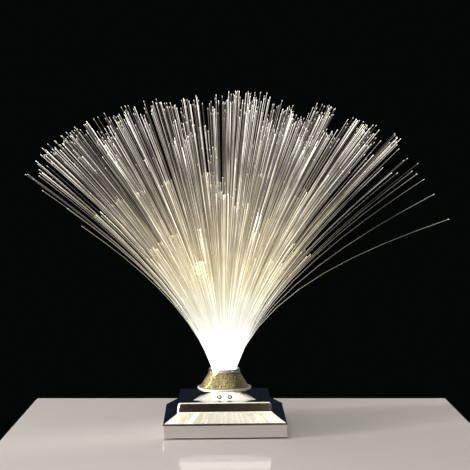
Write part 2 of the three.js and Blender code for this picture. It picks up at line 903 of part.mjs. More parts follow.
const overTray = (x) => [
  [x, trayHalfY / 2, leadTrayZ + 2 * leadRadius],
  [x, trayHalfY - leadRadius, leadTrayZ + rest],
  [x, trayHalfY + aroundEdge, trayTop + aroundEdge],
  [x, leadDropY, trayTop - leadRadius],
  [x, leadDropY, cellZ],
  ...boardLanding(x),
];
const ledLead = [[ribbonX, leadRadius, sleeveBottom - ledBoardThickness - leadGap]];
add("lead_led", lead([...ledLead, ...overTray(ribbonX)], ribbonHalfWidth), greyWire);
const receiverEnd = new THREE.Vector3(-ribbonX, 0, boardFace - leadGap).applyMatrix4(face.matrix);
const receiverBend = [-ribbonX, -sensorBoardHeight, leadTrayZ + 2 * leadRadius];
const receiverLead = [receiverEnd.toArray(), receiverBend, ...overTray(-ribbonX)];
add("lead_receiver", lead(receiverLead, ribbonHalfWidth), greyWire);
const plusLead = [[cellPitch, leadDropY, cellZ], ...boardLanding(cellPitch)];
add("lead_plus", lead(plusLead, 0), redWire);
const leadSideX = -trayHalfX - leadGap;
const minusLead = [
  [-cellPitch, -leadDropY, cellZ],
  [-trayHalfX + leadRadius, -leadDropY, cellZ],
  [-trayHalfX - aroundEdge, -trayHalfY - aroundEdge, cellZ],
  [leadSideX, -trayHalfY + leadRadius, cellZ],
  [leadSideX, trayHalfY - leadRadius, cellZ],
  [-trayHalfX - aroundEdge, trayHalfY + aroundEdge, cellZ],
  [-trayHalfX + leadRadius, leadDropY, cellZ],
  ...boardLanding(-trayHalfX + 4 * leadGap),
];
add("lead_minus", lead(minusLead, 0), black);

// Ferrule with a flared bore and a lip that stands over the sleeve
const ferruleBoreFoot = potRadius + fit;
add(
  "ferrule",
  turnedRing([
    [ferruleBoreFoot, ferruleBottom],
    [ferruleRadius, ferruleBottom],
    [ferruleRadius, ferruleLipBottom],
    [ferruleRadius + ferruleLipWidth, ferruleLipBottom],
    [ferruleRadius + ferruleLipWidth, ferruleTop - ferruleLipRound],
    [ferruleRadius + ferruleLipWidth - ferruleLipRound, ferruleTop],
    [ferruleRadius - ferruleLipWidth, ferruleTop],
    [ferruleBoreFoot, potTop],
  ], hiddenSteps),
  chrome,
);

// Fibres: the slope grows from the resin by slope = tip - (tip - root) exp(-length / bend), and
// both slopes follow a fibre's place in the bundle. As it rises, each fibre draws towards the
// middle of its clump, and the fibres of a clump are cut to about one length.
const spread = (seed) => 2 * THREE.MathUtils.seededRandom(seed) - 1;
const exitLength = collarTop + rimHeight - potTop;
const bundleRadius = (fibreRings - 1 / 4) * fibreSpacing;
const quarterTurn = Math.PI / 2;
const goldenTurn = Math.PI * (3 - Math.sqrt(5));
const clumps = Array.from({ length: clumpCount }, (_, i) =>
  new THREE.Vector2(bundleRadius * Math.sqrt((i + 1 / 2) / clumpCount), 0).rotateAround(
    new THREE.Vector2(),
    i * goldenTurn,
  ),
);

// Where a strand from this root lies at one length, and how far it leans there
function strandPoint(root, lean, length) {
  const parts = 24;
  const share = root.length() / bundleRadius;
  const place = new THREE.Vector2(root.length(), potTop);
  let slope = rootTilt * share;
  for (let i = 0; i < parts; i++) {
    const settled = 1 - Math.exp((-(i + 1 / 2) * length) / parts / fibreBend);
    slope = THREE.MathUtils.lerp(rootTilt, tipTilt * lean, settled) * share;
    place.x += (Math.sin(slope) * length) / parts;
    place.y += (Math.cos(slope) * length) / parts;
  }
  const azimuth = root.angle();
  const point = new THREE.Vector3(Math.cos(azimuth), Math.sin(azimuth), 0);
  return { point: point.multiplyScalar(place.x).setZ(place.y), slope, azimuth };
}

// The three corners of a fibre's section at one length; in the resin's face it lies flat
function fibreRing(fibre, length) {
  const { point, slope, azimuth } = strandPoint(fibre.root, fibre.lean, length);
  if (fibre.clump) {
    const middle = strandPoint(fibre.clump, 1, length).point;
    point.lerp(middle, gatherShare * (1 - Math.exp(-length / fibreBend)));
  }
  const leaning = new THREE.Euler(0, length ? slope : 0, azimuth, "ZYX");
  return [0, 1, 2].map((side) => {
    const angle = (2 * Math.PI * side) / 3;
    const corner = new THREE.Vector3(Math.cos(angle), Math.sin(angle), 0);
    return corner.multiplyScalar(fibreRadius).applyEuler(leaning).add(point);
  });
}

// The fibres of one quarter, ring by ring; the first of its outermost ring strays from the rest
function fibresOf(quarter) {
  const fibres = [];
  for (let ring = 1; ring <= fibreRings; ring++) {
    const radius = (ring - 1 / 4) * fibreSpacing;
    const around = Math.floor((quarterTurn * radius) / fibreSpacing);
    for (let i = 0; i < around; i++) {
      const seed = 4 * fibres.length + quarter;
      const azimuth = (quarter + (i + 1 / 2) / around) * quarterTurn;
      const root = new THREE.Vector2(radius * Math.cos(azimuth), radius * Math.sin(azimuth));
      const distances = clumps.map((clump) => clump.distanceTo(root));
      const nearest = distances.indexOf(Math.min(...distances));
      const isStray = ring === fibreRings && i === 0;
      const shareOfLength = isStray ? 1 : lengthShares[nearest % lengthShares.length];
      fibres.push({
        root,
        clump: isStray ? null : clumps[nearest],
        lean: isStray ? strayTiltShare : 1 + (spreadShare * spread(seed)) / ring,
        length: fibreLength * shareOfLength * (isStray ? 1 : 1 + raggedShare * spread(seed + 1)),
        steps: isStray ? fibreSteps[0] : fibreSteps[nearest % fibreSteps.length],
      });
    }
  }
  return fibres;
}

// One quarter of the bundle: a slice of resin whose top face has a small triangle for each
// fibre's root, and the fibres that rise from those triangles
function quarterBundle(quarter) {
  const centre = new THREE.Vector2();
  const margin = rest / 2;
  const contour = [new THREE.Vector2(margin, margin)];
  const start = Math.asin(margin / potRadius);
  for (let i = 0; i <= sideSteps; i++) {
    const angle = THREE.MathUtils.lerp(start, quarterTurn - start, i / sideSteps);
    contour.push(new THREE.Vector2(potRadius, 0).rotateAround(centre, angle));
  }
  contour.forEach((point) => point.rotateAround(centre, quarter * quarterTurn));
  const size = contour.length;
  const atHeight = (z) => contour.map(({ x, y }) => new THREE.Vector3(x, y, z));
  const fibres = fibresOf(quarter);
  const roots = fibres.map((fibre) => fibreRing(fibre, 0));
  const points = [...atHeight(potTop), ...roots.flat(), ...atHeight(potBottom)];
  const bottom = points.length - size;
  const index = [];
  for (const [a, b, c] of THREE.ShapeUtils.triangulateShape(contour, roots)) {
    const outward = THREE.ShapeUtils.area([points[a], points[b], points[c]]) > 0;
    index.push(...(outward ? [a, b, c] : [a, c, b]));
  }
  for (let i = 0; i < size; i++) {
    const next = (i + 1) % size;
    index.push(bottom + i, bottom + next, next, bottom + i, next, i);
  }
  for (let i = 1; i < size - 1; i++) index.push(bottom, bottom + i + 1, bottom + i);
  fibres.forEach((fibre, i) => {
    let from = size + 3 * i;
    for (let step = 1; step <= fibre.steps; step++) {
      const share = ((step - 1) / (fibre.steps - 1)) ** stepPower;
      const to = points.length;
      points.push(...fibreRing(fibre, THREE.MathUtils.lerp(exitLength, fibre.length, share)));
      for (let side = 0; side < 3; side++) {
        const next = (side + 1) % 3;
        index.push(from + side, from + next, to + next, from + side, to + next, to + side);
      }
      from = to;
    }
    index.push(from, from + 1, from + 2);
  });
  return new THREE.BufferGeometry().setFromPoints(points).setIndex(index);
}

for (let quarter = 0; quarter < 4; quarter++)
  add(`fibres_${quarter + 1}`, quarterBundle(quarter), glow);

export default lamp;
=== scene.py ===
"""Looks for a fiber optic lamp: a mirror-chrome stepped base, a collar of gold glitter, and a
spray of lit fibres. Lengths in the sections are millimetres, and `mesh_piece` puts every mesh
into metres; what a shader compares with Object coordinates or attributes is in metres."""

import bpy
import numpy as np
from mathutils import Matrix


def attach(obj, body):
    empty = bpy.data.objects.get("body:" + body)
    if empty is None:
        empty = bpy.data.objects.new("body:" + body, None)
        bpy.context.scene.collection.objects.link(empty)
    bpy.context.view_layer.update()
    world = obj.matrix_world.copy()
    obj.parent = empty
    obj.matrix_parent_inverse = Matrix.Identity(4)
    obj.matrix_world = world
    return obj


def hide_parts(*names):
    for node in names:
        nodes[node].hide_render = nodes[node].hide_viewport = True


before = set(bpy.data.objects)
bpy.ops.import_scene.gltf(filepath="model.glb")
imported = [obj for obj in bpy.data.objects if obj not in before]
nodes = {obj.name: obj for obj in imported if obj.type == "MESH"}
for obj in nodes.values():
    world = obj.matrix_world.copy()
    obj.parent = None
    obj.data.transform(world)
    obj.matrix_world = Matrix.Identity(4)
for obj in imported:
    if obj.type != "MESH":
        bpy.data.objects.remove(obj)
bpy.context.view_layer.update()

# --- Camera ---
# A long lens a little below the height of the lamp's top and a little to the left of it,
# tilted down by less than four degrees. The picture is square.
camera_at = (-6.3, -1257.5, 227.2)
camera_pitch, camera_pan, camera_roll = np.radians([-3.755, 0.695, 0.515])
focal_pixels, picture_pixels = 1700, 470
sensor_width = 36


def put_at(item, right, up, forward, place):
    """Links a camera or lamp that stands at the place and looks along forward."""
    turned = np.eye(4)
    turned[:3, :3] = np.column_stack([right, up, -forward])
    turned[:3, 3] = np.array(place) / 1000
    item.matrix_world = Matrix(turned.tolist())
    bpy.context.scene.collection.objects.link(item)


forward = np.array(
    [
        np.sin(camera_pan) * np.cos(camera_pitch),
        np.cos(camera_pan) * np.cos(camera_pitch),
        np.sin(camera_pitch),
    ]
)
level_right = np.cross(forward, [0, 0, 1])
level_right /= np.linalg.norm(level_right)
level_up = np.cross(level_right, forward)
camera_right = np.cos(camera_roll) * level_right - np.sin(camera_roll) * level_up
camera_up = np.sin(camera_roll) * level_right + np.cos(camera_roll) * level_up
camera_data = bpy.data.cameras.new("camera")
camera_data.sensor_width = sensor_width
camera_data.lens = sensor_width * focal_pixels / picture_pixels
camera = bpy.data.objects.new("camera", camera_data)
put_at(camera, camera_right, camera_up, forward, camera_at)
bpy.context.scene.camera = camera

# --- Room and softboxes ---
# A dark studio: navy behind the lamp, brown behind the camera. A wide softbox hangs over the
# table, others stand on the left and high in front, narrow ones give the chrome its lines, and
# a narrow beam from the left lights the collar.
room_behind = (0.010, 0.013, 0.020)
seen_behind = (0.0015, 0.0021, 0.0018)
bands_reach = 0.09
brown_bands = [
    (0.0, (0.050, 0.032, 0.028)),
    (0.25, (0.150, 0.085, 0.070)),
    (0.38, (0.036, 0.026, 0.022)),
    (0.5, (0.012, 0.010, 0.008)),
    (0.6, (0.034, 0.028, 0.020)),
    (0.78, (0.170, 0.127, 0.078)),
    (1.0, (0.050, 0.036, 0.028)),
]


def mapped(tree, value, from_min, from_max, to_min=0.0, to_max=1.0):
    """The value carried from the first range to the second, and held inside it."""
    node = tree.nodes.new("ShaderNodeMapRange")
    limits = {"From Min": from_min, "From Max": from_max, "To Min": to_min, "To Max": to_max}
    for socket, limit in limits.items():
        node.inputs[socket].default_value = limit
    tree.links.new(value, node.inputs["Value"])
    return node.outputs[0]


def ramped(tree, value, stops, interpolation="LINEAR"):
    """A colour ramp over 0 to 1 by the given (place, colour) stops."""
    node = tree.nodes.new("ShaderNodeValToRGB")
    node.color_ramp.interpolation = interpolation
    elements = node.color_ramp.elements
    elements[0].position, elements[1].position = stops[0][0], stops[-1][0]
    elements[0].color, elements[1].color = (*stops[0][1], 1), (*stops[-1][1], 1)
    for position, colour in stops[1:-1]:
        elements.new(position).color = (*colour, 1)
    tree.links.new(value, node.inputs[0])
    return node.outputs[0]


def blended(tree, share, first, second):
    """The first colour where the share is 0, the second where it is 1; each colour is a tuple
    or a socket."""
    node = tree.nodes.new("ShaderNodeMix")
    node.data_type = "RGBA"
    tree.links.new(share, node.inputs["Factor"])
    for socket, colour in (("A", first), ("B", second)):
        if isinstance(colour, tuple):
            node.inputs[socket].default_value = (*colour, 1)
        else:
            tree.links.new(colour, node.inputs[socket])
    return node.outputs["Result"]


def make_room():
    """World colour by direction: navy towards +Y, and towards -Y upright bands of brown, as
    furniture and curtains give. The camera itself sees near black."""
    world = bpy.data.worlds.new("dark_room")
    world.use_nodes = True
    bpy.context.scene.world = world
    tree = world.node_tree
    place = tree.nodes.new("ShaderNodeTexCoord")
    axes = tree.nodes.new("ShaderNodeSeparateXYZ")
    tree.links.new(place.outputs["Generated"], axes.inputs[0])
    across = mapped(tree, axes.outputs["X"], -bands_reach, bands_reach)
    bands = ramped(tree, across, brown_bands)
    room = blended(tree, mapped(tree, axes.outputs["Y"], -0.5, 0.5), bands, room_behind)
    rays = tree.nodes.new("ShaderNodeLightPath")
    shown = blended(tree, rays.outputs["Is Camera Ray"], room, seen_behind)
    tree.links.new(shown, tree.nodes["Background"].inputs["Color"])


make_room()
softboxes = [
    # name, place, aim, width, height, radiance, spread of the beam in degrees, colour
    ("over_table", (-120, -120, 1250), (0, -60, 0), 1100, 1050, 2.7, 180, (1, 0.97, 0.93)),
    ("tall_left", (-1000, -420, 170), (0, 0, 40), 420, 400, 24.0, 180, (1, 0.96, 0.88)),
    ("front_high", (0, -1100, 645), (0, 0, 20), 400, 200, 4.4, 180, (1, 0.96, 0.89)),
    ("strip_right", (1150, -500, 420), (0, 0, 40), 90, 800, 3.0, 180, (1, 0.98, 0.95)),
    ("strip_back_left", (-800, 900, 650), (0, 0, 60), 120, 700, 3.0, 180, (0.95, 0.97, 1)),
    ("strip_back_right", (850, 850, 650), (0, 0, 60), 120, 700, 3.0, 180, (0.95, 0.97, 1)),
    ("spot_left", (-900, -360, 170), (0, 0, 34), 60, 60, 4.0, 7, (1, 0.95, 0.82)),
]
for name, place, aim, width, height, radiance, beam, colour in softboxes:
    lamp_data = bpy.data.lights.new(name, "AREA")
    lamp_data.shape = "RECTANGLE"
    lamp_data.size, lamp_data.size_y = width / 1000, height / 1000
    lamp_data.energy = radiance * np.pi * lamp_data.size * lamp_data.size_y
    lamp_data.spread = np.radians(beam)
    lamp_data.color = colour
    towards = np.subtract(aim, place) / np.linalg.norm(np.subtract(aim, place))
    looks_down = abs(towards[2]) >= 0.9
    across = np.cross(towards, [0, 1, 0] if looks_down else [0, 0, 1])
    across /= np.linalg.norm(across)
    softbox = bpy.data.objects.new(name, lamp_data)
    put_at(softbox, across, np.cross(across, towards), towards, place)


# --- Table ---
# A plain pale lacquered table top, not part of the lamp: its back edge lies a little slanted
# behind the lamp, and its polish gives a soft picture of the base.
def mesh_piece(name, points, faces, smooth=True):
    """A mesh object from an (..., 3) array of points in millimetres and the faces' indices."""
    mesh = bpy.data.meshes.new(name)
    points = np.asarray(points, float).reshape(-1, 3) / 1000
    faces = faces.tolist() if isinstance(faces, np.ndarray) else faces
    mesh.from_pydata(points.tolist(), [], faces)
    mesh.polygons.foreach_set("use_smooth", np.full(len(faces), smooth))
    mesh.update()
    piece = bpy.data.objects.new(name, mesh)
    bpy.context.scene.collection.objects.link(piece)
    return piece


def finish_of(name, colour, metallic=0.0, roughness=0.5, **sockets):
    """A material on one Principled shader; returns it with its tree and shader."""
    material = bpy.data.materials.new(name)
    material.use_nodes = True
    shader = material.node_tree.nodes["Principled BSDF"]
    shader.inputs["Base Color"].default_value = (*colour, 1)
    shader.inputs["Metallic"].default_value = metallic
    shader.inputs["Roughness"].default_value = roughness
    for socket, value in sockets.items():
        shader.inputs[socket.replace("_", " ")].default_value = value
    return material, material.node_tree, shader


def object_noise(tree, scale, detail):
    """A noise in Object coordinates, nearly all of it between 0.3 and 0.7."""
    place = tree.nodes.new("ShaderNodeTexCoord")
    grain = tree.nodes.new("ShaderNodeTexNoise")
    grain.inputs["Scale"].default_value = scale
    grain.inputs["Detail"].default_value = detail
    tree.links.new(place.outputs["Object"], grain.inputs["Vector"])
    return grain.outputs[0]


def wear(tree, shader, scale, low, high, bump=0.0, depth=0.0):
    """Roughness from low to high by a fine noise, and a bump from the same noise whose depth
    is in metres."""
    grain = object_noise(tree, scale, 3)
    tree.links.new(mapped(tree, grain, 0.3, 0.7, low, high), shader.inputs["Roughness"])
    if bump:
        ripple = tree.nodes.new("ShaderNodeBump")
        ripple.inputs["Strength"].default_value = bump
        ripple.inputs["Distance"].default_value = depth
        tree.links.new(grain, ripple.inputs["Height"])
        tree.links.new(ripple.outputs[0], shader.inputs["Normal"])


table_corners = [(-189, -700), (203, -700), (183, 128.5), (-156, 151.5)]
table_thickness, table_round = 22, 1.5
table_points = [(x, y, z) for z in (-table_thickness, 0) for x, y in table_corners]
table_faces = [(3, 2, 1, 0), (4, 5, 6, 7), (0, 1, 5, 4), (1, 2, 6, 5), (2, 3, 7, 6), (3, 0, 4, 7)]
table = mesh_piece("table_top", table_points, table_faces, smooth=False)
soften = table.modifiers.new("soften", "BEVEL")
soften.width, soften.segments = table_round / 1000, 3
lacquer, lacquer_tree, lacquer_shader = finish_of("pale_lacquer", (0.71, 0.68, 0.665), IOR=1.05)
wear(lacquer_tree, lacquer_shader, 40, 0.03, 0.05)
table.data.materials.append(lacquer)


# --- Housing ---
# One moulded shell of plastic, plated to a mirror: slab, sloping skirt, upright riser, flat
# ledge and a dome that goes from square to round, with windows for the two lenses in front
# and cut-outs for the power socket and the switch in its back wall.
def rounded(corners, steps=5):
    """A profile of [half width, height, radius] corners with each corner replaced by the arc
    that touches both of its straights."""
    straight_on = 3.1
    corners = np.array(corners, float)
    places, radii = corners[:, :2], corners[:, 2]
    run = []
    for i, (place, radius) in enumerate(zip(places, radii)):
        before = places[i - 1] - place
        after = places[(i + 1) % len(places)] - place
        before, after = before / np.linalg.norm(before), after / np.linalg.norm(after)
        turn = np.arccos(np.clip(before @ after, -1, 1))
        if not radius or turn > straight_on:
            run.append(place[None])
            continue
        reach = radius / np.tan(turn / 2)
        middle = (before + after) / np.linalg.norm(before + after)
        centre = place + middle * radius / np.sin(turn / 2)
        start = place + before * reach - centre
        end = place + after * reach - centre
        share = np.linspace(0, 1, steps)[:, None]
        span = np.arccos(np.clip(start @ end / radius**2, -1, 1))
        arc = (np.sin((1 - share) * span) * start + np.sin(share * span) * end) / np.sin(span)
        run.append(centre + arc)
    return np.concatenate(run)


def square_rings(profile, corner, roundness, across=41, around=7):
    """One ring of points per profile row: a square of that half width with arc corners, each
    point drawn by roundness towards the circle of the same half width."""
    half, height = profile[:, 0, None], profile[:, 1, None]
    corner = np.minimum(corner[:, None], half)
    straight = np.linspace(-1, 1, across)
    arc = np.linspace(0, np.pi / 2, around)[1:-1]
    flat = half - corner
    x = np.concatenate([half + 0 * straight, flat + corner * np.cos(arc)], axis=1)
    y = np.concatenate([flat * straight, flat + corner * np.sin(arc)], axis=1)
    edge = np.arctan2(flat, half)
    corner_turn = edge + (np.pi / 2 - 2 * edge) * arc / (np.pi / 2)
    turn = np.concatenate([edge * straight, corner_turn], axis=1)
    x = x + roundness[:, None] * (half * np.cos(turn) - x)
    y = y + roundness[:, None] * (half * np.sin(turn) - y)
    sides = [(x, y), (-y, x), (-x, -y), (y, -x)]
    x = np.concatenate([side[0] for side in sides], axis=1)
    y = np.concatenate([side[1] for side in sides], axis=1)
    return np.stack([x, y, height + 0 * x], axis=-1)


def grid_faces(rows, columns, close_rows=False):
    """Quads between neighbouring rows of a grid whose columns close on themselves."""
    row = np.arange(rows if close_rows else rows - 1)[:, None]
    column = np.arange(columns)[None]
    following = (row + 1) % rows
    beside = (column + 1) % columns
    quads = [row * columns + column, row * columns + beside]
    quads += [following * columns + beside, following * columns + column]
    return np.stack([q + 0 * row * column for q in quads], axis=-1).reshape(-1, 4)


def carve(piece, cutters):
    """Takes the closed cutters out of the piece, which becomes a plain mesh."""
    for cutter in cutters:
        cut = piece.modifiers.new("cut", "BOOLEAN")
        cut.operation, cut.solver, cut.object = "DIFFERENCE", "EXACT", cutter
    graph = bpy.context.evaluated_depsgraph_get()
    mesh = bpy.data.meshes.new_from_object(piece.evaluated_get(graph))
    piece.modifiers.clear()
    piece.data = mesh
    for cutter in cutters:
        bpy.data.objects.remove(cutter)


slab_half, slab_bottom, slab_top = 45.0, 1.15, 11.6
slab_edge_inset, slab_edge_drop = 0.43, 1.5
skirt_top_half, riser_foot = 35.2, 17.7
riser_top_half, riser_top = 33.5, 25.1
dome_foot_half, dome_top_radius, dome_top = 23.7, 19.6, 30.7
base_corner, dome_corner = 0.95, 0.55
shell_wall = 1.8
sleeve_hole = 11.25
dome_foot, dome_edge = np.array([dome_foot_half, riser_top]), np.array([dome_top_radius, dome_top])
dome_rows = [[*(dome_foot + t * (dome_edge - dome_foot)), 0] for t in np.linspace(0.1, 0.9, 9)]
housing_corners = [
    [slab_half, slab_bottom, 0.2],
    [slab_half, slab_top - slab_edge_drop, 0.15],
    [slab_half - slab_edge_inset, slab_top, 0.12],
    [skirt_top_half, riser_foot, 0.2],
    [skirt_top_half - 0.75, riser_foot + 0.6, 0.2],
    [riser_top_half, riser_top, 1.0],
    [dome_foot_half, riser_top, 0.35],
    *dome_rows,
    [dome_top_radius, dome_top, 0.5],
    [sleeve_hole, dome_top, 0.2],
    [sleeve_hole, dome_top - shell_wall, 0],
    [dome_top_radius - 1.5, dome_top - shell_wall, 0],
    [dome_foot_half - 1.4, riser_top - shell_wall, 0],
    [riser_top_half - shell_wall, riser_top - shell_wall, 0],
    [skirt_top_half - 2.4, riser_foot - 0.9, 0],
    [slab_half - shell_wall, slab_top - 1, 0],
    [slab_half - shell_wall, slab_bottom, 0.3],
]
inner_rows = 11  # rows of the rounded profile inside the shell: six corners and one arc
housing_profile = rounded(housing_corners)
rise_share = (housing_profile[:, 1] - riser_top) / (dome_top - riser_top)
on_dome = housing_profile[:, 0] < dome_foot_half + 0.3
inside_dome = (housing_profile[:, 1] - riser_top + shell_wall) / (dome_top - riser_top)
is_inner = np.arange(len(housing_profile)) >= len(housing_profile) - inner_rows
housing_round = np.clip(np.where(is_inner, inside_dome, rise_share), 0, 1) * on_dome
housing_corner = np.where(on_dome, dome_corner, base_corner)
housing_rings = square_rings(housing_profile, housing_corner, housing_round)
housing_faces = grid_faces(*housing_rings.shape[:2], close_rows=True)
housing = mesh_piece("chrome_housing", housing_rings, housing_faces)


def turned_rings(profile, steps):
    """Rings of points round the axis, one per [radius, height] row of the profile."""
    profile = np.array(profile, float)
    angle = np.linspace(0, 2 * np.pi, steps, endpoint=False)[None]
    radius, height = profile[:, 0, None], profile[:, 1, None]
    x, y = radius * np.cos(angle), radius * np.sin(angle)
    return np.stack([x, y, height + 0 * x], axis=-1)


def face_frame(points):
    """Points of the dome's front face, whose own Z points out of it, put in the lamp's frame.
    The face's origin lies midway between the lenses, a little below the middle of the slope."""
    share = 0.38
    tilt = np.arctan2(dome_top - riser_top, dome_foot_half - dome_top_radius)
    x, y, z = np.moveaxis(points, -1, 0)
    out_y = y * np.cos(tilt) - z * np.sin(tilt)
    out_z = y * np.sin(tilt) + z * np.cos(tilt)
    middle_y = -(dome_foot_half + share * (dome_top_radius - dome_foot_half))
    middle_z = riser_top + share * (dome_top - riser_top)
    return np.stack([x, out_y + middle_y, out_z + middle_z], axis=-1)


def capped(name, rings, smooth=True):
    """A closed solid from rings of points, each of its two ends one many-sided face."""
    rows, steps = rings.shape[:2]
    faces = grid_faces(rows, steps).tolist()
    faces += [list(range(steps))[::-1], [(rows - 1) * steps + i for i in range(steps)]]
    return mesh_piece(name, rings, faces, smooth)


def slot_cutter(name, x, z, width, height, round_share=1.0):
    """A cutter along +Y through the back wall, its section a rectangle with rounded ends."""
    steps, y_from, y_to = 10, 40, 48
    turn = np.linspace(-np.pi / 2, np.pi / 2, steps)
    radius = round_share * height / 2
    right = width / 2 - radius
    up = height / 2 - radius
    px = np.concatenate([right + radius * np.cos(turn), -right - radius * np.cos(turn)])
    pz = radius * np.sin(turn) + up * np.sign(np.sin(turn))
    pz = np.concatenate([pz, -pz])
    ring = np.stack([x + px, 0 * px, z + pz], axis=-1)
    return capped(name, np.stack([ring + [0, y_to, 0], ring + [0, y_from, 0]]), smooth=False)


lens_spacing, window_radius, window_steps = 7.6, 1.55, 28
window_profile = [
    [window_radius, -4],
    [window_radius, 0],
    [window_radius + 0.3, 0.25],
    [window_radius + 0.3, 2],
]
housing_cutters = []
for side in (-1, 1):
    rings = turned_rings(window_profile, window_steps) + [side * lens_spacing / 2, 0, 0]
    housing_cutters.append(capped(f"window_{side}", face_frame(rings)))
housing_cutters += [
    slot_cutter("socket_mouth", x=-12.925, z=7.2, width=9.4, height=3.7),
    slot_cutter("switch_mouth", x=12.925, z=7.5, width=6.0, height=2.5, round_share=0.3),
]
carve(housing, housing_cutters)

# flat faces keep their own normals, so that only the rounded edges bend a reflection
weighted = housing.modifiers.new("even_normals", "WEIGHTED_NORMAL")
weighted.mode, weighted.weight, weighted.keep_sharp = "FACE_AREA", 100, True

chrome, chrome_tree, chrome_shader = finish_of("mirror_chrome", (0.78, 0.77, 0.74), 1.0, 0.03)
wear(chrome_tree, chrome_shader, 90, 0.07, 0.11, bump=0.04, depth=0.0002)
housing.data.materials.clear()
housing.data.materials.append(chrome)
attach(housing, "base")
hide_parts("base_shell")

# --- Collar with its foot ring and top rim ---
# A flared plastic collar coated with gold glitter: real flakes, each a little facet at its own
# angle. A plated bead seats it on the dome, and a plated rim with a round lip closes its neck.
random = np.random.default_rng(20)
collar_foot, collar_neck = 18.55, 11.7
flare_bottom, flare_top, collar_top = 31.25, 42.45, 43.15
flare_power = 1.1
collar_wall = 1.2
flake_rows, flake_steps, flake_jitter = 46, 300, 0.06
share = np.linspace(0, 1, flake_rows)
flare_radius = collar_neck + (collar_foot - collar_neck) * (1 - share) ** flare_power
flare_height = flare_bottom + share * (flare_top - flare_bottom)
outside = np.column_stack([flare_radius, flare_height])
foot = np.array([[collar_foot - 1.4, dome_top], [collar_foot, dome_top]])
neck = np.array([[collar_neck, collar_top], [collar_neck - 0.9, collar_top]])
inside = np.column_stack([flare_radius - collar_wall, flare_height])[::-5]
collar_rings = turned_rings(np.concatenate([foot, outside, neck, inside]), flake_steps)
first, last = len(foot) + 1, len(foot) + flake_rows - 1
jitter = flake_jitter * random.uniform(-1, 1, (last - first, flake_steps, 3))
collar_rings[first:last] += jitter
collar_faces = grid_faces(*collar_rings.shape[:2], close_rows=True)
collar = mesh_piece("glitter_collar", collar_rings, collar_faces, smooth=False)

glitter, glitter_tree, glitter_shader = finish_of("gold_glitter", (0.8, 0.62, 0.3), 0.9, 0.32)
flake_tints = [(0.0, (0.07, 0.052, 0.022)), (0.5, (0.31, 0.26, 0.12)), (1.0, (0.80, 0.71, 0.42))]
place = glitter_tree.nodes.new("ShaderNodeTexCoord")
flakes = glitter_tree.nodes.new("ShaderNodeTexVoronoi")
flakes.inputs["Scale"].default_value = 2300
channels = glitter_tree.nodes.new("ShaderNodeSeparateColor")
glitter_tree.links.new(place.outputs["Object"], flakes.inputs["Vector"])
glitter_tree.links.new(flakes.outputs["Color"], channels.inputs[0])
tint = ramped(glitter_tree, channels.outputs[0], flake_tints)
glitter_tree.links.new(tint, glitter_shader.inputs["Base Color"])
shine = mapped(glitter_tree, channels.outputs[1], 0, 1, 0.18, 0.55)
glitter_tree.links.new(shine, glitter_shader.inputs["Roughness"])
collar.data.materials.append(glitter)
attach(collar, "base")
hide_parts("collar")


def turned_piece(name, profile, steps):
    """A ring of revolution from a profile that closes on itself."""
    rings = turned_rings(profile, steps)
    return mesh_piece(name, rings, grid_faces(*rings.shape[:2], close_rows=True))


ring_turn = np.linspace(0, 2 * np.pi, 20, endpoint=False)
bead_path, bead_height, bead_radius = 19.35, 31.27, 0.72
bead_profile = np.column_stack(
    [bead_path + bead_radius * np.cos(ring_turn), bead_height + bead_radius * np.sin(ring_turn)]
)
rim_corners = [
    [10.8, collar_top, 0.1],
    [11.95, collar_top, 0.5],
    [11.95, collar_top + 1.05, 0.5],
    [11.54, collar_top + 1.15, 0.05],
    [11.45, collar_top + 2.3, 0.1],
    [10.8, collar_top + 2.3, 0.15],
]
satin_chrome, satin_tree, satin_shader = finish_of("satin_chrome", (0.74, 0.73, 0.71), 1.0, 0.25)
wear(satin_tree, satin_shader, 300, 0.24, 0.3)
frosted, frosted_tree, frosted_shader = finish_of("frosted_chrome", (0.98, 0.97, 0.94), 1.0, 0.55)
wear(frosted_tree, frosted_shader, 300, 0.5, 0.6)
for name, node, profile, plating in (
    ("foot_bead", "foot_ring", bead_profile, frosted),
    ("collar_rim", "top_rim", rounded(rim_corners), satin_chrome),
):
    trim = turned_piece(name, profile, 128)
    trim.data.materials.append(plating)
    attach(trim, "base")
    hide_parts(node)

# --- Fibres ---
# Thin clear plastic strands, potted in a ferrule and bushed out by their own spring, in clumps
# that are cut to one length each. Every fibre of the CAD bundle is here, with many finer ones
# between them and a few single ones that stand away from the spray.
fibre_radius = 0.17
pot_foot, pot_top = 31.9, 35.4
exit_height = 45.45
fibre_spacing, fibre_rings, ring_inset = 0.73, 10, 0.25
bundle_radius = (fibre_rings - ring_inset) * fibre_spacing
fibre_length, fibre_bend = 212.0, 80.0
root_degrees, tip_degrees = 12.0, 57.0
root_tilt, tip_tilt = np.radians([root_degrees, tip_degrees])
clump_count = 96
gather_share = 0.5
length_shares = np.array([1, 0.73, 1, 1, 0.54, 1, 0.44])
golden_turn = np.pi * (3 - np.sqrt(5))


def even_random(seed):
    """Mulberry32: numbers from 0 to 1 that look random, one for each whole number."""
    mask = np.uint64(0xFFFFFFFF)
    t = (np.asarray(seed, np.uint64) + np.uint64(0x6D2B79F5)) & mask
    t = ((t ^ (t >> np.uint64(15))) * (t | np.uint64(1))) & mask
    mixed = ((t ^ (t >> np.uint64(7))) * (t | np.uint64(61))) & mask
    t = t ^ ((t + mixed) & mask)
    return (t ^ (t >> np.uint64(14))) / 2.0**32


def sunflower(count, radius):
    """Points spread evenly over a disc, each a golden turn after the one before."""
    i = np.arange(count)
    reach = radius * np.sqrt((i + 0.5) / count)
    return np.column_stack([reach * np.cos(i * golden_turn), reach * np.sin(i * golden_turn)])


def nearest_clump(points):
    """The number of the clump whose root is nearest to each point."""
    return np.linalg.norm(points[:, None] - clump_roots[None], axis=-1).argmin(1)


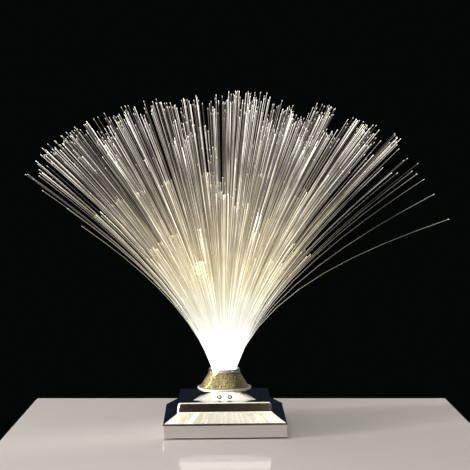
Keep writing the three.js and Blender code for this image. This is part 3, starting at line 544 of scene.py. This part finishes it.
def ringed_roots():
    """The CAD bundle's roots, ring by ring in each quarter: place, seed, ring, and whether the
    fibre strays from its clump."""
    rows = []
    for quarter in range(4):
        count = 0
        for ring in range(1, fibre_rings + 1):
            reach = (ring - ring_inset) * fibre_spacing
            around = int(np.pi / 2 * (ring - ring_inset))
            for i in range(around):
                turn = (quarter + (i + 0.5) / around) * np.pi / 2
                seed = 4 * count + quarter
                strays = ring == fibre_rings and i == 0
                rows.append([reach * np.cos(turn), reach * np.sin(turn), seed, ring, strays])
                count += 1
    return np.array(rows)


def strand_path(root, lean, length):
    """Places and slopes of strands at lengths from the resin: the slope is root slope plus
    (tip slope - root slope) (1 - exp(-length / bend)), times the root's share of the bundle's
    radius, and its sine and cosine add up to the reach and the height. Near the root the
    ferrule draws the bundle in by up to a ninth."""
    parts = 24
    drawn_in, drawn_length = 0.11, 30
    reach = np.hypot(root[..., 0], root[..., 1])[..., None]
    azimuth = np.arctan2(root[..., 1], root[..., 0])[..., None]
    middle = (np.arange(parts) + 0.5) / parts * length[..., None]
    settled = 1 - np.exp(-middle / fibre_bend)
    slope = root_tilt + (tip_tilt * lean[..., None, None] - root_tilt) * settled
    slope = slope * reach[..., None] / bundle_radius
    away = reach + np.sin(slope).mean(-1) * length
    away = away * (1 - drawn_in * np.exp(-length / drawn_length))
    height = pot_top + np.cos(slope).mean(-1) * length
    centre = np.stack([away * np.cos(azimuth), away * np.sin(azimuth), height], axis=-1)
    return centre, slope[..., -1], azimuth


clump_roots = sunflower(clump_count, bundle_radius)
ringed = ringed_roots()
ringed_count = len(ringed)

# finer strands: a scattered sunflower, thinned among the short clumps of the right side and
# the long ones of the left, with nearly all of the long ones kept along both flanks
fine_tried, fine_reach, fine_scatter = 1500, 0.86, 0.1
right_squeeze = 0.96
right_from, flank_from, flank_middle = 0.3, 0.62, -0.03
fine = sunflower(fine_tried, fine_reach * bundle_radius)
fine = fine + fine_scatter * random.normal(size=(fine_tried, 2))
fine[:, 0] *= np.where(fine[:, 0] > 0, right_squeeze, 1)
is_long = length_shares[nearest_clump(fine) % len(length_shares)] == 1
on_right = fine[:, 0] > right_from * bundle_radius
at_flank = np.abs(fine[:, 0] - flank_middle * bundle_radius) > flank_from * bundle_radius
kept_right, kept_left = np.where(is_long, 0.8, 0.5), np.where(is_long, 0.55, 0.95)
kept_share = np.where(on_right, kept_right, kept_left)
kept_share[is_long & at_flank] = 0.95
fine = fine[random.random(len(fine)) < kept_share]
fine_count = len(fine)

# the CAD's fibres and the finer strands together: how far they lean, how long they are, how
# far they gather to the middle of their clump, and how they sway
ring_lean, fine_lean, stray_lean = 0.25, 0.02, 1.07
ringed_ragged, long_ragged, short_ragged = 0.02, 0.022, 0.009
right_gain, left_gain = 0.04, 0.02
left_stray_lean, left_stray_length = 1.0, 206.0
roots = np.concatenate([ringed[:, :2], fine])
nearest = nearest_clump(roots)
strays = np.concatenate([ringed[:, 4] > 0, np.zeros(fine_count, bool)])
of_ring = 1 + ring_lean * (2 * even_random(ringed[:, 2]) - 1) / ringed[:, 3]
lean = np.concatenate([of_ring, 1 + fine_lean * random.uniform(-1, 1, fine_count)])
lean[strays] = stray_lean
of_clump = length_shares[nearest % len(length_shares)]
ragged = ringed_ragged * (2 * even_random(ringed[:, 2] + 1) - 1)
fine_ragged = np.where(of_clump[ringed_count:] == 1, long_ragged, short_ragged)
ragged = np.concatenate([ragged, fine_ragged * random.uniform(-1, 1, fine_count)])
length = fibre_length * np.where(strays, 1, of_clump * (1 + ragged))
flank_gain = np.where(fine[:, 0] > 0, right_gain, left_gain)
length[ringed_count:] *= 1 + flank_gain * np.abs(fine[:, 0]) / bundle_radius
left_stray = strays & (roots[:, 0] < -0.9 * bundle_radius)
lean[left_stray], length[left_stray] = left_stray_lean, left_stray_length
ringed_gather = np.full(ringed_count, gather_share)
gather = np.concatenate([ringed_gather, random.uniform(0.3, 0.8, fine_count)])
gather[strays] = 0
sway = np.concatenate([np.zeros(ringed_count), random.uniform(-1, 1, fine_count)])

# single strands that stand away from the spray: azimuth, slope far from the root, length
single_strands = np.array(
    [
        [178, 54.0, 211.9],
        [183, 56.3, 204.7],
        [176, 60.5, 196.1],
        [184, 59.8, 172.8],
        [181, 62.9, 155.8],
        [-12, 67.2, 210.2],
        [-26, 76.7, 217.3],
        [4, 59.8, 211.3],
        [92, 60.0, 205.0],
        [-88, 61.0, 198.0],
        [60, 62.5, 190.0],
        [-131, 60.5, 200.0],
    ]
)
single_reach, single_tint = 0.98, 0.6
single = np.radians(single_strands[:, 0])
single_root = single_reach * bundle_radius * np.column_stack([np.cos(single), np.sin(single)])
roots = np.concatenate([roots, single_root])
nearest = np.concatenate([nearest, np.zeros(len(single), int)])
lean = np.concatenate([lean, single_strands[:, 1] / tip_degrees])
length = np.concatenate([length, single_strands[:, 2]])
gather = np.concatenate([gather, 0 * single])
sway = np.concatenate([sway, 0 * single])
strand_count = len(length)
strand_tint = random.random(strand_count)
strand_tint[-len(single) :] = single_tint
# the tone is 0 out to about half of the bundle's radius, and 1 at its rim
strand_tone = np.clip(2.2 * np.linalg.norm(roots, axis=1) / bundle_radius - 1.2, 0, 1)

# three-sided tubes along the paths, finely stepped near the root, each ending in a little
# thicker bead, and starting at the resin's foot
strand_steps, root_crowding = 11, 1.25
tip_length, bead_share, bead_swell = 1.1, 0.35, 1.15
sway_reach = 1.2
sides = 3
even = np.linspace(0, 1, strand_steps)[None] ** root_crowding
tip_share = tip_length / length[:, None]
along = [even * (1 - tip_share), 1 - bead_share * tip_share, 1 + 0 * tip_share]
along = np.concatenate(along, axis=1)
run = along * length[:, None]
centre, slope, azimuth = strand_path(roots, lean, run)
middle, _, _ = strand_path(clump_roots[nearest], np.ones(strand_count), run)
drawn = gather[:, None] * (1 - np.exp(-run / fibre_bend))
centre = centre + drawn[..., None] * (middle - centre)
outward = np.stack(
    [np.cos(slope) * np.cos(azimuth), np.cos(slope) * np.sin(azimuth), -np.sin(slope)], axis=-1
)
sideways = np.stack([-np.sin(azimuth) + 0 * slope, np.cos(azimuth) + 0 * slope, 0 * slope], axis=-1)
centre = centre + (sway_reach * sway[:, None] * along**2)[..., None] * sideways
pot_ring = centre[:, :1] * [1, 1, 0] + [0, 0, pot_foot]
centre = np.concatenate([pot_ring, centre], axis=1)
outward = np.concatenate([outward[:, :1], outward], axis=1)
sideways = np.concatenate([sideways[:, :1], sideways], axis=1)
along = np.concatenate([0 * along[:, :1], along], axis=1)
girth = np.full(along.shape, fibre_radius)
girth[:, -2:] *= bead_swell
corner = 2 * np.pi * np.arange(sides) / sides
ring = np.cos(corner)[:, None] * outward[:, :, None]
ring = ring + np.sin(corner)[:, None] * sideways[:, :, None]
strand_rings = centre[:, :, None] + girth[:, :, None, None] * ring
to_exit = along * length[:, None] - (exit_height - pot_top)
to_tip = (1 - along) * length[:, None]
rings_each = along.shape[1]
quarter_of = np.floor(np.mod(azimuth[:, 0], 2 * np.pi) / (np.pi / 2)).astype(int)

lit_fibre, fibre_tree, fibre_shader = finish_of("lit_fibre", (0.11, 0.107, 0.1), 0.0, 0.25)
lit_fibre.cycles.emission_sampling = "NONE"


def fibre_value(name):
    """The strand mesh's own attribute of that name."""
    reader = fibre_tree.nodes.new("ShaderNodeAttribute")
    reader.attribute_name = name
    return reader.outputs["Fac"]


def combined(operation, first, *others):
    """Math nodes that work the others into the first one by one, each a socket or a number."""
    for other in others:
        node = fibre_tree.nodes.new("ShaderNodeMath")
        node.operation = operation
        for socket, value in zip(node.inputs, (first, other)):
            if isinstance(value, (int, float)):
                socket.default_value = value
            else:
                fibre_tree.links.new(value, socket)
        first = node.outputs[0]
    return first


# light from a strand's side: warm and strong at the rim, falling along the strand, and uneven
# farther out, where a few strands give much more than the rest; this unevenness is partly
# real leak and partly painted highlight, with noise patches of painted highlight along the strands
from_rim, from_tip = fibre_value("to_exit"), fibre_value("to_tip")
own_tint, own_tone = fibre_value("strand"), fibre_value("tone")
glow_reach, brightest = 0.22, 1.85
light_share = combined("DIVIDE", from_rim, glow_reach)
light_colours = [
    (0.0, (1.0, 0.97, 0.90)),
    (0.15, (1.0, 0.97, 0.88)),
    (0.23, (1.0, 0.95, 0.72)),
    (0.30, (1.0, 0.88, 0.54)),
    (0.40, (1.0, 0.82, 0.45)),
    (0.55, (1.0, 0.82, 0.50)),
    (0.70, (1.0, 0.86, 0.62)),
    (0.90, (1.0, 0.92, 0.80)),
]
light_steps = [
    (0.0, 1.0),
    (0.07, 0.78),
    (0.15, 0.50),
    (0.23, 0.43),
    (0.37, 0.34),
    (0.5, 0.225),
    (0.7, 0.122),
    (1.0, 0.1),
]
grey_steps = [(position, (light, light, light)) for position, light in light_steps]
light_colour = ramped(fibre_tree, light_share, light_colours)
light_fall = ramped(fibre_tree, light_share, grey_steps)
brightness = combined("POWER", own_tint, 5.0)
# painted highlight: noise patches in the strands' glow that stand in for the lights' highlights on
# them
painted_highlight_patches = mapped(fibre_tree, object_noise(fibre_tree, 55, 1), 0.3, 0.7, 0.5, 1.7)
leak_and_highlight_spread = combined("ADD", combined("MULTIPLY", brightness, 5.6), 0.06)
leak_and_highlight_spread = combined("SUBTRACT", combined("MULTIPLY", leak_and_highlight_spread, painted_highlight_patches), 1.0)
far_share = mapped(fibre_tree, from_rim, 0.04, 0.19, 0.1, 1.0)
leak_and_highlight_gain = combined("ADD", combined("MULTIPLY", leak_and_highlight_spread, far_share), 1.0)
body_light = combined("MULTIPLY", light_fall, brightest, leak_and_highlight_gain)

# light from the cut tip, stronger far from the rim, and a glow over the last centimetres,
# stronger in the flanks and in a few strands
near_tip = mapped(fibre_tree, from_tip, 0.0016, 0.0002, 0.0, 1.5)
far_gain = combined("MAXIMUM", combined("POWER", combined("DIVIDE", from_rim, 0.2), 2.0), 0.5)
tip_light = combined("MULTIPLY", near_tip, far_gain)
upper = mapped(fibre_tree, from_tip, 0.036, 0.004, 0.0, 0.19)
flank = combined("ADD", combined("MULTIPLY", own_tone, 0.9), 1.0)
own_share = combined("MULTIPLY", combined("POWER", own_tint, 4.0), 6.0)
own_share = combined("ADD", own_share, 0.2)
upper_light = combined("MULTIPLY", upper, flank, own_share)
strand_light = combined("ADD", tip_light, upper_light, body_light)

# the brightest strands and the outer ones are paler
pale_light = (1.0, 0.97, 0.92)
bright_share, outer_share = 0.6, 0.35
from_bright = combined("MULTIPLY", brightness, bright_share)
from_outer = combined("MULTIPLY", own_tone, outer_share)
paler = blended(fibre_tree, combined("MAXIMUM", from_bright, from_outer), light_colour, pale_light)
fibre_tree.links.new(paler, fibre_shader.inputs["Emission Color"])
fibre_tree.links.new(strand_light, fibre_shader.inputs["Emission Strength"])

for quarter in range(4):
    mine = np.flatnonzero(quarter_of == quarter)
    ring_start = np.arange(len(mine) * rings_each).reshape(len(mine), rings_each) * sides
    side = np.arange(sides)
    low, high = ring_start[:, :-1, None], ring_start[:, 1:, None]
    beside = (side + 1) % sides
    quads = np.stack([low + side, low + beside, high + beside, high + side], axis=-1)
    ends = np.concatenate([ring_start[:, :1] + side[::-1], ring_start[:, -1:] + side], axis=0)
    faces = quads.reshape(-1, 4).tolist() + ends.tolist()
    spray = mesh_piece(f"fibre_spray_{quarter + 1}", strand_rings[mine], faces)
    for name, value in (
        ("to_exit", to_exit[mine] / 1000),
        ("to_tip", to_tip[mine] / 1000),
        ("strand", np.repeat(strand_tint[mine][:, None], rings_each, axis=1)),
        ("tone", np.repeat(strand_tone[mine][:, None], rings_each, axis=1)),
    ):
        layer = spray.data.attributes.new(name, "FLOAT", "POINT")
        layer.data.foreach_set("value", np.repeat(value, sides).astype(np.float32))
    spray.data.materials.append(lit_fibre)
    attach(spray, "spray")
    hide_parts(f"fibres_{quarter + 1}")

# --- Ferrule and resin ---
# A plated ferrule with a flared mouth holds the bundle; clear resin fills it and is polished
# flush at its foot, where the lamp shines in.
ferrule_corners = [
    [7.85, 31.6, 0.15],
    [9.65, 31.6, 0.3],
    [9.65, 38.5, 0.1],
    [10.4, 38.5, 0.2],
    [10.4, 39.5, 0.35],
    [8.9, 39.5, 0.3],
    [7.85, 35.4, 0.5],
]
ferrule = turned_piece("plated_ferrule", rounded(ferrule_corners), 96)
ferrule.data.materials.append(chrome)
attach(ferrule, "spray")
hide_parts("ferrule")
resin_profile = [[0.05, 31.95], [7.5, 31.95], [7.8, 32.2], [7.8, 35.0], [7.5, 35.3], [0.05, 35.2]]
resin = capped("resin_plug", turned_rings(resin_profile, 64))
resin_finish, resin_tree, resin_shader = finish_of("lit_resin", (0.8, 0.78, 0.7), 0.0, 0.2)
resin_shader.inputs["Emission Color"].default_value = (1, 0.95, 0.82, 1)
resin_shader.inputs["Emission Strength"].default_value = 1.5
wear(resin_tree, resin_shader, 400, 0.15, 0.3)
resin.data.materials.append(resin_finish)
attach(resin, "spray")


# --- Lenses, LED, boards, cells and the rest of the CAD pieces ---
# These keep their CAD shapes and get their finishes: moulded plastics with a fine grain,
# steel, printed circuit board, rubber, the printed sleeves of the cells, and pale lenses with
# painted shade that darkens them towards the edge of their window.
def moulded(name, colour, low, high, scale=900, bump=0.15, depth=0.00008, metallic=0.0):
    """A finish of one colour with a fine grain."""
    material, tree, shader = finish_of(name, colour, metallic, low)
    wear(tree, shader, scale, low, high, bump, depth)
    return material


black_plastic = moulded("black_plastic", (0.022, 0.022, 0.025), 0.35, 0.5)
white_plastic = moulded("white_plastic", (0.85, 0.84, 0.80), 0.25, 0.35)
rubber = moulded("soft_rubber", (0.02, 0.02, 0.022), 0.75, 0.9)
steel = moulded("bright_steel", (0.62, 0.62, 0.63), 0.2, 0.35, 500, 0.1, 0.00005, 1.0)
board_green = moulded("board_green", (0.02, 0.12, 0.045), 0.35, 0.5)
red_wire = moulded("red_wire", (0.45, 0.02, 0.015), 0.4, 0.5)
grey_wire = moulded("grey_wire", (0.33, 0.33, 0.34), 0.4, 0.5)
led_light, led_tree, led_shader = finish_of("led_phosphor", (0.9, 0.75, 0.3), 0.0, 0.3)
led_shader.inputs["Emission Color"].default_value = (1, 0.94, 0.8, 1)
led_shader.inputs["Emission Strength"].default_value = 4
wear(led_tree, led_shader, 800, 0.25, 0.35)

sleeve_blue, sleeve_gold, gold_from = (0.02, 0.05, 0.22), (0.62, 0.42, 0.13), 0.72
cell_reach = 0.0268
cell_print, cell_tree, cell_shader = finish_of("cell_sleeve", sleeve_blue, 0.6, 0.3)
wear(cell_tree, cell_shader, 600, 0.22, 0.34)
place = cell_tree.nodes.new("ShaderNodeTexCoord")
axes = cell_tree.nodes.new("ShaderNodeSeparateXYZ")
cell_tree.links.new(place.outputs["Object"], axes.inputs[0])
along_cell = mapped(cell_tree, axes.outputs["Y"], -cell_reach, cell_reach)
cell_bands = [(0.0, sleeve_blue), (gold_from, sleeve_gold)]
printed = ramped(cell_tree, along_cell, cell_bands, "CONSTANT")
cell_tree.links.new(printed, cell_shader.inputs["Base Color"])

# painted shade: each lens colour turns near black towards the edge of its window, where the gap
# round the lens lies in shade
painted_shade_colour, painted_shade_from, painted_shade_to = (0.03, 0.022, 0.02), 0.0009, 0.0012
lens_finishes = []
for side, name, colour in (
    (-1, "receiver_lens", (0.80, 0.73, 0.62)),
    (1, "status_lens", (0.82, 0.78, 0.70)),
):
    lens, lens_tree, lens_shader = finish_of(name, colour, 0.0, 0.05)
    wear(lens_tree, lens_shader, 300, 0.04, 0.1, 0.02)
    place = lens_tree.nodes.new("ShaderNodeTexCoord")
    reach = lens_tree.nodes.new("ShaderNodeVectorMath")
    reach.operation = "DISTANCE"
    lens_tree.links.new(place.outputs["Object"], reach.inputs[0])
    window_middle = face_frame(np.array([[side * lens_spacing / 2, 0.0, 0.0]]))[0]
    reach.inputs[1].default_value = window_middle / 1000
    # painted shade: the share of the dark edge colour, by distance from the middle of the lens
    edge = mapped(lens_tree, reach.outputs["Value"], painted_shade_from, painted_shade_to)
    shade = blended(lens_tree, edge, colour, painted_shade_colour)
    lens_tree.links.new(shade, lens_shader.inputs["Base Color"])
    lens_finishes.append(lens)
receiver_lens, status_lens = lens_finishes

finishes = {
    black_plastic: "socket_sleeve bottom_plate battery_door control_chip power_tongue"
    " switch_knob lead_minus",
    white_plastic: "reflector_cup led_board",
    rubber: "foot_1 foot_2 foot_3 foot_4",
    steel: "contact_plus contact_bridge_back contact_minus contact_bridge_front screw_1 screw_2"
    " screw_3 screw_4 power_socket switch_body",
    board_green: "receiver_board control_board",
    receiver_lens: "ir_receiver",
    status_lens: "status_led",
    red_wire: "lead_plus",
    grey_wire: "lead_led lead_receiver",
    led_light: "led_emitter",
    cell_print: "cell_1 cell_2 cell_3 capacitor",
}
for finish, names in finishes.items():
    for name in names.split():
        nodes[name].data.materials.clear()
        nodes[name].data.materials.append(finish)

bpy.context.scene.view_settings.view_transform = "Standard"
